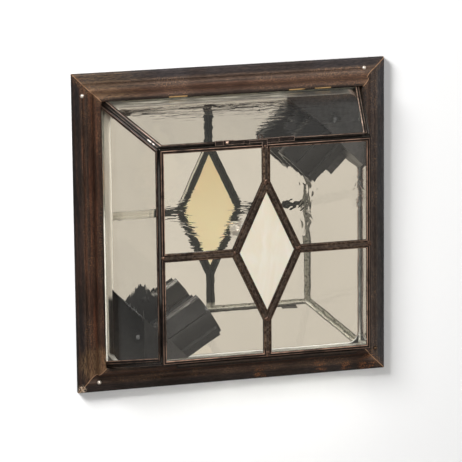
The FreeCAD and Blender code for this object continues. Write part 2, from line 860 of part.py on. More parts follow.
def latch_base():
    """A plate on the rim with a raised stop at the arm's tail."""
    base, arm, hook = latch_levels()
    y = -latch_line
    half = latch_base_width / 2
    start = latch_base_start
    highest = base + latch_stop_height
    sheet = box(start, start + latch_base_length, y - half, y + half, base, base + latch_base_sheet)
    stop = box(start, start + latch_stop_length, y - half, y + half, base, highest)
    hole = rod(pivot_radius + thread_play, base, highest, latch_pivot_x, y)
    return sheet.fuse(stop).removeSplitter().cut(hole)


def latch_pivot():
    base, arm, hook = latch_levels()
    top = arm + latch_sheet + latch_play
    shank = rod(pivot_radius, base, top, latch_pivot_x, -latch_line)
    return shank.fuse(dome(pivot_head_radius, pivot_head_height, top, latch_pivot_x, -latch_line))


def latch_arm():
    """A strip that turns on the pivot, steps up over the door and ends in a notched finger."""
    base, arm, hook = latch_levels()
    y = -latch_line
    half = arm_width / 2
    step_start = latch_pivot_x + arm_run
    step_end = step_start + step_run
    finger_start = stud_x - finger_width / 2
    finger_end = stud_x + finger_width / 2
    top = hook + latch_sheet
    tail = rod(half, arm, arm + latch_sheet, latch_pivot_x, y)
    flat = box(latch_pivot_x, step_start, y - half, y + half, arm, arm + latch_sheet)
    slope = [Vector(step_start, y - half, -arm), Vector(step_start, y - half, -arm - latch_sheet)]
    slope += [Vector(step_end, y - half, -top), Vector(step_end, y - half, -hook)]
    ramp = Part.Face(Part.makePolygon(slope + slope[:1])).extrude(Y * arm_width)
    reach = box(step_end, finger_end, y - half, y - half + hook_width, hook, top)
    stud_y = stud_inset + door_set_back - door_half
    finger_tip = stud_y + finger_overlap
    finger = box(finger_start, finger_end, y - half, finger_tip, hook, top)
    slot_radius = stud_neck_radius + slot_play
    slot = rod(slot_radius, hook, top, stud_x, stud_y)
    mouth = box(stud_x - slot_radius, stud_x + slot_radius, stud_y, finger_tip, hook, top)
    bearing = rod(pivot_radius + thread_play, arm, arm + latch_sheet, latch_pivot_x, y)
    return tail.fuse([flat, ramp, reach, finger]).removeSplitter().cut([slot, mouth, bearing])


def latch_loop():
    """The curled wire that a finger pulls, soldered to the outer edge of the arm."""
    base, arm, hook = latch_levels()
    level = hook + latch_sheet / 2
    edge = -latch_line - arm_width / 2
    centre_y = edge - loop_radius - loop_wire_radius - rim_play
    return Part.makeTorus(loop_radius, loop_wire_radius, Vector(loop_x, centre_y, -level), Z)


def catch_stud():
    """The headed stud on the door that the finger hooks round."""
    base, arm, hook = latch_levels()
    y = stud_inset + door_set_back - door_half
    head_level = hook + latch_sheet + latch_play
    foot = rod(stud_foot_radius, light_height, light_height + stud_foot_height, stud_x, y)
    neck = rod(stud_neck_radius, light_height, head_level, stud_x, y)
    return foot.fuse([neck, dome(stud_head_radius, stud_head_height, head_level, stud_x, y)])


def latch_keeper():
    """The strip soldered to the rim beside the latch, raised where the arm's end rests."""
    base, arm, hook = latch_levels()
    y = -latch_line
    half = latch_base_width / 2
    strip = box(keeper_start, keeper_start + keeper_length, y - half, y + half, base, base + latch_base_sheet)
    ledge = box(keeper_start, keeper_start + keeper_ledge, y - half, y + half, base, base + keeper_height)
    return strip.fuse(ledge).removeSplitter()


def latch():
    save("latch_base", latch_base())
    save("latch_pivot", latch_pivot())
    save("latch_arm", latch_arm())
    save("latch_loop", latch_loop())
    save("catch_stud", catch_stud())
    save("latch_keeper", latch_keeper())


# Everything, written one file to a piece
def main():
    os.makedirs("parts", exist_ok=True)
    moulded_frame()
    side_panes()
    save("corner_seams", corner_seams())
    door_panes()
    lampholders()
    save("ceiling_pan", ceiling_pan())
    save("mirror_reflector", mirror_reflector())
    save("mounting_strap", mounting_strap())
    save("nipple", nipple())
    save("nipple_locknut", nipple_locknut())
    save("nipple_cap_nut", nipple_cap_nut())
    save("ground_screw", ground_screw())
    hinge()
    latch()


main()
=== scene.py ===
import json
import math

import bmesh
import bpy
from mathutils import Matrix, Vector


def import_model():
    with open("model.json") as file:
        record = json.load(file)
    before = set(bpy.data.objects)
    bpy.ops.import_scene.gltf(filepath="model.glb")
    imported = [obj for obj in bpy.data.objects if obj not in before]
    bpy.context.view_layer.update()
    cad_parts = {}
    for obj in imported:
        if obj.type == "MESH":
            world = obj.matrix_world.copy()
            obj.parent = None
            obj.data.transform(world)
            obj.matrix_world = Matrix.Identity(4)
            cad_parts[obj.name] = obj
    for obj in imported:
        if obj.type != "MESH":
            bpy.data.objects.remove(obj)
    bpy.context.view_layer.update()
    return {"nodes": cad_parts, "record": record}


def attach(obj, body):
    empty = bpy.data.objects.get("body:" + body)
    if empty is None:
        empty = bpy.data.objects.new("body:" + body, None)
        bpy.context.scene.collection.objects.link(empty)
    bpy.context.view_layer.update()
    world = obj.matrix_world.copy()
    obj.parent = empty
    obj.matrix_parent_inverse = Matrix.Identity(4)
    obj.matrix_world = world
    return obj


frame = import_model()
nodes = frame["nodes"]

# Lengths on the light are written in millimetres and turned into metres with MM. In the row frame
# +X is the camera's right, +Y the hinge side (the lower edge) and +Z up into the ceiling, so the
# room lies along -Z. Lamp and camera places are in metres.
MM = 0.001
FRAME_HALF = 152.4
BAR_WIDTH = 26
WALL_SLOPE = math.radians(14.3)
SLOPE_OUT = math.cos(WALL_SLOPE)
SLOPE_DOWN = -math.sin(WALL_SLOPE)
INTO_ROOM = (0, 0, -1)

WHITE = (1.0, 1.0, 1.0)
WARM_WHITE = (1.0, 0.985, 0.96)
COPPER_RUB_AND_HIGHLIGHT = (0.50, 0.32, 0.24)
CAME_BROWN = (0.034, 0.023, 0.016)
PALE_CREAM = (0.97, 0.95, 0.90)


def scaled(colour, factor):
    return tuple(factor * value for value in colour)


class Tree:
    """A node tree, with short ways to fill it."""

    def __init__(self, tree):
        self.tree = tree

    def feed(self, socket, value):
        """Link another socket to this one, or set its value. Colours are given without alpha."""
        if isinstance(value, bpy.types.NodeSocket):
            self.tree.links.new(value, socket)
        elif socket.type == "RGBA":
            socket.default_value = (*value, 1.0)
        else:
            socket.default_value = value

    def node(self, kind, **inputs):
        """A new node. Its inputs are named with underscores for spaces."""
        node = self.tree.nodes.new("ShaderNode" + kind)
        for key, value in inputs.items():
            self.feed(node.inputs[key.replace("_", " ")], value)
        return node

    def math(self, operation, first, second=0.0):
        node = self.node("Math")
        node.operation = operation
        self.feed(node.inputs[0], first)
        self.feed(node.inputs[1], second)
        return node.outputs[0]

    def times(self, first, *factors):
        for factor in factors:
            first = self.math("MULTIPLY", first, factor)
        return first

    def ramp(self, value, *stops):
        """A colour read off along a value, from stops of place and colour."""
        node = self.node("ValToRGB", Fac=value)
        elements = node.color_ramp.elements
        while len(elements) < len(stops):
            elements.new(0.5)
        for element, (place, colour) in zip(elements, stops):
            element.position = place
            element.color = (*colour, 1.0)
        return node.outputs["Color"]

    def mix_shaders(self, share, first, second):
        """The first shader node where share is 0, the second where it is 1."""
        both = self.node("MixShader")
        for socket, value in zip(both.inputs, (share, first.outputs[0], second.outputs[0])):
            self.feed(socket, value)
        return both

    def show(self, output, shader):
        self.feed(self.tree.nodes[output].inputs["Surface"], shader.outputs[0])


class Shader(Tree):
    """A Principled material. Its textures read object coordinates: the row frame in metres."""

    def __init__(self, name):
        self.material = bpy.data.materials.new(name)
        self.material.use_nodes = True
        super().__init__(self.material.node_tree)
        self.bsdf = self.tree.nodes["Principled BSDF"]
        self.coords = self.node("TexCoord").outputs

    def put(self, **values):
        """Feed inputs of the Principled shader, named with underscores for spaces."""
        for key, value in values.items():
            self.feed(self.bsdf.inputs[key.replace("_", " ")], value)

    def clear_where(self, share, tint=WHITE):
        """Let rays pass straight through where share is 1."""
        clear = self.node("BsdfTransparent", Color=tint)
        self.show("Material Output", self.mix_shaders(share, self.bsdf, clear))

    def mapped(self, stretch):
        node = self.node("Mapping", Vector=self.coords["Object"], Scale=stretch)
        return node.outputs[0]

    def noise(self, scale, detail=3.0, stretch=(1, 1, 1), warp=0.0, rough=0.5):
        node = self.node("TexNoise", Vector=self.mapped(stretch), Scale=scale, Detail=detail,
                         Distortion=warp, Roughness=rough)
        return node.outputs["Fac"]

    def axes(self):
        return self.node("SeparateXYZ", Vector=self.coords["Object"]).outputs

    def absolute(self, value):
        return self.math("ABSOLUTE", value)

    def maximum(self, first, second):
        return self.math("MAXIMUM", first, second)

    def subtract(self, first, second):
        return self.math("SUBTRACT", first, second)

    def span(self, value, low, high, new_low=0.0, new_high=1.0):
        """A smooth step from new_low at low to new_high at high."""
        node = self.node("MapRange", Value=value, From_Min=low, From_Max=high,
                         To_Min=new_low, To_Max=new_high)
        node.interpolation_type = "SMOOTHSTEP"
        return node.outputs[0]

    def span_mm(self, value, low, high, new_low=0.0, new_high=1.0):
        """A smooth step over a place or length, with its ends in millimetres."""
        return self.span(value, low * MM, high * MM, new_low, new_high)

    def mix(self, share, first, second, blend="MIX"):
        node = self.node("Mix")
        node.data_type = "RGBA"
        node.blend_type = blend
        self.feed(node.inputs["Factor"], share)
        self.feed(node.inputs[6], first)
        self.feed(node.inputs[7], second)
        return node.outputs[2]

    def tinted(self, colour, factor):
        return self.mix(1.0, colour, factor, "MULTIPLY")

    def tint_where(self, share, colour, factor):
        return self.mix(share, colour, self.tinted(colour, factor))

    def vector(self, operation, first, second):
        node = self.node("VectorMath")
        node.operation = operation
        self.feed(node.inputs[0], first)
        self.feed(node.inputs[1], second)
        return node.outputs["Value"]

    def facing(self, direction):
        """How squarely the surface looks along a fixed direction of its own body."""
        return self.vector("DOT_PRODUCT", self.coords["Normal"], direction)

    def spot(self, centre, radius):
        """1 at a place on the light, falling to 0 at a radius."""
        distance = self.vector("DISTANCE", self.coords["Object"], scaled(centre, MM))
        return self.span(distance, 0.0, radius * MM, 1.0, 0.0)

    def sharp_edges(self, width):
        """1 along the sharp edges of the shape, over a width, and 0 on its faces."""
        bevel = self.node("Bevel", Radius=width * MM)
        bevel.samples = 8
        normal = self.node("NewGeometry").outputs["Normal"]
        return self.span(self.vector("DOT_PRODUCT", bevel.outputs[0], normal), 0.98, 0.90)

    def bump(self, height, depth, strength=1.0, under=None):
        """A bumped normal. Under is the normal that it is laid over."""
        node = self.node("Bump", Distance=depth * MM, Strength=strength, Height=height)
        if under is not None:
            self.feed(node.inputs["Normal"], under)
        return node.outputs["Normal"]


# In the functions for the moulded frame, reach is 0 at a bar's outer edge and 1 at its inner lip.
def wear_and_light_along_x(s, colour, x, y, reach, streaks, specks):
    """Wear and painted light on the two bars along X: the latch side painted lighter and paler,
    as lit, with gilt there; rusty at the hinge side.
    """
    # Painted light: the bar on the latch side is painted lighter, and its outer band paler and
    # cooler, as sheen.
    latch_side = s.span_mm(y, 1, -1)
    pale = s.times(latch_side, s.span(reach, 0.62, 0.50))
    colour = s.tint_where(pale, colour, (1.8, 1.9, 1.95))
    colour = s.tint_where(latch_side, colour, (1.32, 1.40, 1.44))
    gilt = s.times(s.span_mm(x, -70, -125), latch_side, s.span(streaks, 0.40, 0.62),
                   s.span(reach, 0.90, 0.80), 0.6)
    colour = s.mix(gilt, colour, (0.24, 0.155, 0.085))

    rust = s.spot((27, 148, -5), 10)
    for centre, radius in (((86, 148, -5), 11), ((114, 148, -5), 8), ((135, 146, -5), 14)):
        rust = s.maximum(rust, s.spot(centre, radius))
    blotches = s.noise(1.0, 3.0, (80, 380, 380), 0.8)
    rust = s.times(s.span(rust, 0.02, 0.65), s.span(specks, 0.46, 0.58),
                   s.span(blotches, 0.38, 0.56))
    colour = s.mix(rust, colour, (0.26, 0.105, 0.045))

    # Rubbed brass with a painted glint shows on two stretches of the inner edge, given by their
    # middle and half length.
    left, right = (s.math("LESS_THAN", s.absolute(s.subtract(x, middle * MM)), half * MM)
                   for middle, half in ((-54, 9), (75, 21)))
    edge = s.times(s.span(reach, 0.895, 0.915), s.span(reach, 0.962, 0.946),
                   s.maximum(left, right), latch_side,
                   s.span(s.noise(70.0, 3.0, warp=0.4), 0.42, 0.50))
    return s.mix(edge, colour, (0.66, 0.42, 0.19))


def wear_and_sheen_along_y(s, colour, x, reach, bands, streaks):
    """Wear and painted sheen on the two bars along Y: greyer and bluer at the right as painted
    sheen, warmer at the left, gilt at its end.
    """
    # Painted sheen: the right bar's outer band is painted paler and bluer, its inner band a little
    # bluer.
    right_side = s.span_mm(x, -1, 1)
    outer = s.times(right_side, s.span(reach, 0.34, 0.24))
    colour = s.tint_where(outer, colour, (1.6, 2.0, 2.2))
    inner = s.times(right_side, s.span(reach, 0.26, 0.34))
    colour = s.tint_where(inner, colour, (1.02, 1.22, 1.42))
    warm = s.times(s.span_mm(x, 1, -1), s.span(bands, 0.46, 0.60))
    colour = s.tint_where(warm, colour, (1.5, 1.22, 1.08))
    gilt = s.times(s.span(s.spot((-134, 126, -14), 30), 0.1, 0.6),
                   s.span(streaks, 0.40, 0.60), 0.7)
    return s.mix(gilt, colour, (0.27, 0.165, 0.085))


def frame_bronze(name, along_x):
    """Dark bronze with a speckled grain along the bar, rubbed to copper on the round of it."""
    s = Shader(name)
    x, y = s.axes()[:2]
    across = y if along_x else x
    reach = s.times(s.subtract(FRAME_HALF * MM, s.absolute(across)), 1 / (BAR_WIDTH * MM))
    streaks = s.noise(1.0, 4.0, (170, 1500, 1500) if along_x else (1500, 170, 1500), 0.4, 0.65)
    bands = s.noise(1.0, 3.0, (14, 330, 330) if along_x else (330, 14, 330), 0.3)
    patches = s.noise(19.0, 4.0, warp=0.8)
    specks = s.noise(900.0, 3.0, rough=0.7)

    base = s.ramp(reach,
                  (0.0, (0.022, 0.017, 0.016)), (0.23, (0.025, 0.019, 0.018)),
                  (0.31, (0.048, 0.032, 0.025)), (0.48, (0.066, 0.043, 0.033)),
                  (0.53, (0.026, 0.018, 0.015)), (0.60, (0.060, 0.032, 0.022)),
                  (0.80, (0.060, 0.034, 0.024)), (0.87, (0.028, 0.020, 0.017)),
                  (0.955, (0.018, 0.013, 0.011)), (0.99, (0.30, 0.28, 0.24)))
    colour = s.tint_where(s.span(patches, 0.35, 0.65), base, (1.2, 1.3, 1.4))
    colour = s.tinted(colour, s.ramp(streaks, (0.32, (0.62, 0.60, 0.60)),
                                     (0.50, (0.95, 0.93, 0.92)), (0.66, (1.7, 1.5, 1.35))))
    colour = s.tinted(colour, s.ramp(bands, (0.35, (0.80, 0.80, 0.80)), (0.65, (1.2, 1.15, 1.12))))
    rub = s.times(s.span(specks, 0.52, 0.64), s.span(patches, 0.42, 0.62),
                  s.span(reach, 0.24, 0.34), s.span(reach, 0.93, 0.86), 0.75)
    colour = s.mix(rub, colour, (0.24, 0.125, 0.066))
    if along_x:
        colour = wear_and_light_along_x(s, colour, x, y, reach, streaks, specks)
    else:
        colour = wear_and_sheen_along_y(s, colour, x, reach, bands, streaks)

    # Painted light: the faces that look inward are painted pale, and the lip below them white on
    # the hinge and left sides
    inward = s.times(s.facing((0, -1, 0) if along_x else (-1, 0, 0)), s.math("SIGN", across))
    colour = s.mix(s.span(inward, 0.90, 0.97), colour, (0.50, 0.47, 0.41))
    lip = s.times(s.span(reach, 1.02, 1.05), s.span_mm(s.subtract(s.times(y, 2.0), x), 60, 110))
    colour = s.mix(lip, colour, (0.97, 0.95, 0.91))

    # The mitre seams, the rubbed metal beside them, and one bared tip with a painted glint
    mitre = s.absolute(s.subtract(s.absolute(x), s.absolute(y)))
    seam = s.times(s.span_mm(mitre, 0.8, 0.3), s.span(patches, 0.34, 0.50))
    colour = s.mix(seam, colour, (0.42, 0.25, 0.15))
    beside = s.times(s.span_mm(mitre, 9.0, 1.0), s.span(specks, 0.46, 0.60),
                     s.span(patches, 0.50, 0.66), 0.8)
    colour = s.mix(beside, colour, (0.25, 0.135, 0.072))
    tip = s.times(s.span(s.spot((-149, 149, -5), 8), 0.15, 0.95), s.span(specks, 0.50, 0.58))
    colour = s.mix(tip, colour, (0.90, 0.70, 0.52))

    normal = s.bump(specks, 0.04, 0.4, under=s.bump(streaks, 0.03, 0.5))
    s.put(Base_Color=colour, Metallic=s.times(s.subtract(1.0, lip), 0.35), Normal=normal,
          Roughness=s.span(bands, 0.3, 0.7, 0.52, 0.40), Specular_IOR_Level=0.2)
    return s.material


def channel_metal(name, crest, brown=None, glint=None, dark=(0.009, 0.0065, 0.0055),
                  line=COPPER_RUB_AND_HIGHLIGHT, worn_and_lit_edge=0.0):
    """Near-black patina on rolled channel, with a line of rubbed copper and painted highlight along
    each side of its crest.

    Crest is the direction that the channel's outer side looks in. Brown colours the bars between
    the door's panes, glint is the place of a painted glint on an inner lip, and worn_and_lit_edge
    a width of edge painted bright, as bare metal and painted highlight.
    """
    s = Shader(name)
    x, y = s.axes()[:2]
    facing = s.facing(crest)
    wear = s.noise(30.0, 3.0, warp=0.5)
    grime = s.noise(420.0, 4.0, warp=0.4)
    off_centre = s.maximum(s.absolute(x), s.absolute(y))

    body = s.mix(s.span(grime, 0.35, 0.65), dark, scaled(dark, 2.8))
    if brown:
        share = s.times(s.span_mm(off_centre, 95, 92), s.span(facing, 0.90, 0.975),
                        s.span(wear, 0.36, 0.60, 0.30, 1.0))
        body = s.mix(share, body, s.mix(s.span(grime, 0.44, 0.64), brown, scaled(brown, 3.2)))
        upright = s.times(s.span_mm(s.absolute(x), 5, 4), s.span_mm(x, 1, -0.5), share)
        body = s.tint_where(upright, body, (1.9, 1.95, 1.95))

    # The lines of rub and painted highlight are strong on the rim and the walls, and faint between
    # the door's panes, a little stronger there on faces towards the hinge side.
    hinge_face = s.span(s.facing((0.3, 0.954, 0)), 0.15, 0.30, 0.17, 0.45)
    rub = s.times(s.span(facing, 0.868, 0.895), s.span(facing, 0.965, 0.945),
                  s.span(wear, 0.34, 0.52, 0.25, 1.0),
                  s.span(s.noise(150.0, 3.0), 0.30, 0.55, 0.4, 1.0),
                  s.maximum(s.span_mm(off_centre, 92, 97), hinge_face))
    outer = s.mix(rub, body, line)
    # Sharp edges painted bright: bare metal and painted highlight.
    if worn_and_lit_edge:
        worn_and_lit = s.times(s.sharp_edges(worn_and_lit_edge), s.span(wear, 0.3, 0.5, 0.3, 1.0))
        outer = s.mix(worn_and_lit, outer, line)

    # The inner faces: painted light on the right and hinge walls, which are pale; the left one
    # pale, with a patch of painted light that glows faintly; else dark
    lit = s.times(s.maximum(s.span_mm(x, 92, 95), s.span_mm(y, 92, 95)),
                  s.span(grime, 0.32, 0.52, 0.25, 1.0), s.span_mm(y, -70, 60, 0.42, 1.0))
    inner = s.mix(lit, (0.018, 0.022, 0.018), (0.50, 0.495, 0.455))
    pale_left = s.times(s.span(s.spot((-100, -20, -116), 90), 0.10, 0.30), s.span_mm(x, -90, -96))
    glow_patch = s.span(s.spot((-84, 0, -118), 40), 0.10, 0.30)
    inner = s.mix(s.maximum(pale_left, glow_patch), inner, PALE_CREAM)
    if glint:
        lip = s.facing((-0.350, -0.168, 0.921))
        bright = s.times(s.span(s.spot(*glint), 0.10, 0.35), s.span(lip, 0.950, 0.965))
        inner = s.mix(bright, inner, (0.98, 0.97, 0.93))
    glow_patch = s.times(glow_patch, s.span_mm(x, -90, -86))
    colour = s.mix(s.span(facing, 0.10, -0.35), outer, inner)
    colour = s.mix(s.times(glow_patch, s.span(facing, 0.35, 0.05)), colour, PALE_CREAM)

    # The glowing patch is matt and glows faintly: painted light.
    matt = s.times(glow_patch, s.span(facing, 0.30, -0.05))
    s.put(Base_Color=colour, Normal=s.bump(s.noise(700.0, 3.0), 0.04, 0.35),
          Metallic=s.times(s.span(facing, -0.35, 0.10, 0.25, 0.6), s.subtract(1.0, matt)),
          Roughness=s.span(grime, 0.3, 0.7, 0.30, 0.44), Specular_IOR_Level=0.25,
          Emission_Color=(1.0, 0.94, 0.84), Emission_Strength=s.times(matt, 0.10))
    return s.material


def solder_metal(name, dark, light, bright=None):
    """Lumpy solder under a dark patina, with a painted glint at one place if that is given."""
    s = Shader(name)
    lumps = s.noise(380.0, 3.0, warp=0.6)
    middle = tuple((low + high) / 2 for low, high in zip(dark, light))
    colour = s.ramp(lumps, (0.38, dark), (0.56, middle), (0.70, light))
    if bright:
        painted_glint = s.times(s.span(s.spot(*bright), 0.25, 0.45),
                        s.span(s.noise(160.0, 2.0), 0.34, 0.46))
        colour = s.mix(painted_glint, colour, (0.90, 0.81, 0.73))
    s.put(Base_Color=colour, Metallic=0.8, Roughness=0.33, Normal=s.bump(lumps, 0.25, 0.6))
    return s.material


def wavy_glass(name, ripples=(), index=1.42):
    """Clear glass with a slow roll, and sharper ripples in a few places.

    A ripple is given by its centre, radius, depth and the stretch of its noise.
    """
    s = Shader(name)
    normal = s.bump(s.noise(26.0, 2.0, warp=0.5), 0.35)
    for centre, radius, depth, stretch in ripples:
        ridges = s.noise(1.0, 1.6, stretch, 0.7)
        normal = s.bump(ridges, depth, s.spot(centre, radius), normal)
    s.put(Base_Color=(0.95, 0.945, 0.925), Roughness=0.0, IOR=index, Transmission_Weight=1.0,
          Normal=normal)
    s.clear_where(s.node("LightPath").outputs["Is Shadow Ray"], (0.93, 0.93, 0.90))
    return s.material


def opal_glass(name):
    """Cream glass with soft clouds. Its inner face is painted with the light it lets through:
    warmer, paler towards +Y, and glowing weakly.
    """
    s = Shader(name)
    clouds = s.noise(38.0, 3.0, (1.0, 0.35, 1.0), 1.4)
    outer = s.ramp(clouds, (0.28, (0.87, 0.785, 0.61)), (0.46, (0.89, 0.82, 0.68)),
                   (0.64, (0.925, 0.87, 0.76)))
    inner = s.mix(s.span_mm(s.axes()["Y"], -50, 40), (0.98, 0.84, 0.55), (0.98, 0.93, 0.70))
    inside = s.span(s.facing(INTO_ROOM), 0.0, -0.5)
    s.put(Base_Color=s.mix(inside, outer, inner), Roughness=0.16,
          Normal=s.bump(s.noise(55.0, 2.0), 0.08, 0.5),
          Emission_Color=(1.0, 0.84, 0.52), Emission_Strength=s.times(inside, 0.26),
          Coat_Weight=0.35, Coat_Roughness=0.03, Subsurface_Weight=0.25, Subsurface_Scale=0.002)
    return s.material


def mirror_metal(name):
    """Silvered sheet with a faint warm roll. Its turned edges carry painted reflections, matt
    colours in place of the mirror at three sides; the right one is tinted.
    """
    s = Shader(name)
    x, y, z = s.axes()
    facing = s.facing(INTO_ROOM)
    colour = s.ramp(s.noise(9.0, 3.0, warp=0.6),
                    (0.3, (0.92, 0.888, 0.824)), (0.7, (0.975, 0.943, 0.88)))

    # Left and latch sides, matt, with painted reflection: the first light with a stretch of painted
    # shade, the second grey streaks
    turned = s.times(s.span(facing, 0.60, 0.40), s.span_mm(s.math("ADD", x, y), 20, -20))
    left_edge = s.times(s.span(facing, 0.985, 0.93), s.span_mm(x, -112, -115))
    matt = s.maximum(turned, left_edge)
    streaks = s.noise(1.0, 3.0, (24, 60, 300), 0.8)
    grey = s.ramp(streaks, (0.40, (0.22, 0.21, 0.195)), (0.52, (0.50, 0.475, 0.43)),
                  (0.62, (0.76, 0.725, 0.66)))
    grey = s.mix(s.span_mm(x, 40, 66), grey, (0.12, 0.118, 0.115))
    shaded = s.times(s.span_mm(y, 55, 62), s.span_mm(z, -13.5, -15.5))
    light = s.mix(shaded, (0.72, 0.67, 0.595), (0.012, 0.012, 0.011))
    latch_side = s.span_mm(s.subtract(x, y), 0, 6)
    colour = s.mix(matt, colour, s.mix(latch_side, light, grey))

    # Right side: tinted, and still a mirror. Hinge side: matt white, a painted line of light.
    right_edge = s.times(s.span(facing, 0.985, 0.93), s.span_mm(x, 112, 115))
    colour = s.mix(right_edge, colour, (0.66, 0.53, 0.47))
    hinge_edge = s.times(s.span(facing, 0.97, 0.90), s.span_mm(y, 112, 116))
    matt = s.maximum(matt, hinge_edge)
    colour = s.mix(hinge_edge, colour, (0.98, 0.97, 0.94))
    s.put(Base_Color=colour, Metallic=s.subtract(1.0, matt),
          Roughness=s.math("ADD", s.times(matt, 0.5), 0.015),
          Normal=s.bump(s.noise(14.0, 1.0), 0.05, 0.5))
    return s.material


def rolled_metal(name, dark, light, roughness, scale=300.0, metallic=1.0):
    """Sheet or turned metal with a fine grain."""
    s = Shader(name)
    grain = s.noise(scale, 4.0, warp=0.2)
    cloud = s.noise(40.0, 3.0)
    colour = s.mix(s.span(grain, 0.3, 0.7), dark, light)
    colour = s.mix(s.span(cloud, 0.35, 0.65, 0.0, 0.25), colour, dark)
    s.put(Base_Color=colour, Metallic=metallic, Normal=s.bump(grain, 0.03, 0.5),
          Roughness=s.span(cloud, 0.3, 0.7, roughness * 0.85, roughness * 1.2))
    return s.material


def bronzed_screw(name):
    """Screw heads in the frame's dark finish, with a painted highlight at three corners and dull
    at one.
    """
    s = Shader(name)
    away = s.span(s.spot((133, 133, -5), 70), 0.3, 0.1)
    # Painted highlight on the heads away from the bottom-right corner.
    rubbed = s.times(s.span(s.noise(260.0, 3.0), 0.30, 0.46), away)
    colour = s.mix(s.span(s.noise(300.0, 3.0), 0.4, 0.6), (0.05, 0.032, 0.022), (0.14, 0.085, 0.05))
    s.put(Base_Color=s.mix(rubbed, colour, (0.95, 0.86, 0.77)), Metallic=0.8, Roughness=0.30)
    return s.material


def galvanised(name):
    """Zinc spangle on the pan."""
    s = Shader(name)
    spangle = s.node("TexVoronoi", Vector=s.mapped((1, 1, 1)), Scale=95.0).outputs["Color"]
    tone = s.node("RGBToBW", Color=spangle).outputs[0]
    colour = s.ramp(tone, (0.2, (0.40, 0.41, 0.42)), (0.8, (0.60, 0.61, 0.61)))
    s.put(Base_Color=colour, Metallic=0.95, Roughness=s.span(tone, 0.0, 1.0, 0.30, 0.46),
          Normal=s.bump(s.noise(300.0, 3.0), 0.04, 0.3))
    return s.material


def threaded(name, dark, light, pitch, roughness):
    """Metal with thread turns along the Z axis."""
    s = Shader(name)
    x, y, z = s.axes()
    turn = s.times(s.math("ARCTAN2", y, x), 1 / (2 * math.pi))
    phase = s.math("FRACT", s.math("ADD", s.times(z, 1 / (pitch * MM)), turn))
    ridge = s.absolute(s.subtract(phase, 0.5))
    # Painted shade: the thread is painted darker in its grooves than on its crests.
    colour = s.mix(s.span(ridge, 0.0, 0.5), dark, light)
    colour = s.mix(s.span(s.noise(120.0, 3.0), 0.4, 0.7, 0.0, 0.4), colour, dark)
    s.put(Base_Color=colour, Metallic=1.0, Roughness=roughness,
          Normal=s.bump(ridge, 0.5 * pitch, 0.8))
    return s.material


def moulded(name, colour, roughness, speck):
    """Moulded black phenolic or rubber with a faint mottle."""
    s = Shader(name)
    mottle = s.noise(160.0, 3.0)
    shade = s.mix(s.span(mottle, 0.3, 0.7), colour, tuple(value + speck for value in colour))
    s.put(Base_Color=shade, Specular_IOR_Level=0.22,
          Roughness=s.span(mottle, 0.3, 0.7, roughness * 0.85, roughness * 1.25))
    return s.material


DOOR_RIPPLES = (((-66, -26, -118), 44, 0.62, (50, 210, 60)),
                ((-20, -22, -118), 40, 0.62, (60, 230, 60)))
LEFT_RIPPLES = (((-107, 52, -80), 50, 0.42, (112, 26, 112)),)
RIGHT_RIPPLES = (((28, -42, -118), 54, 0.80, (92, 58, 60)),
                 ((84, -50, -118), 24, 0.75, (100, 90, 60)))
TOP_RIPPLES = (((-50, -118, -30), 70, 0.30, (30, 210, 210)),
               ((52, -112, -64), 82, 0.34, (36, 190, 190)))

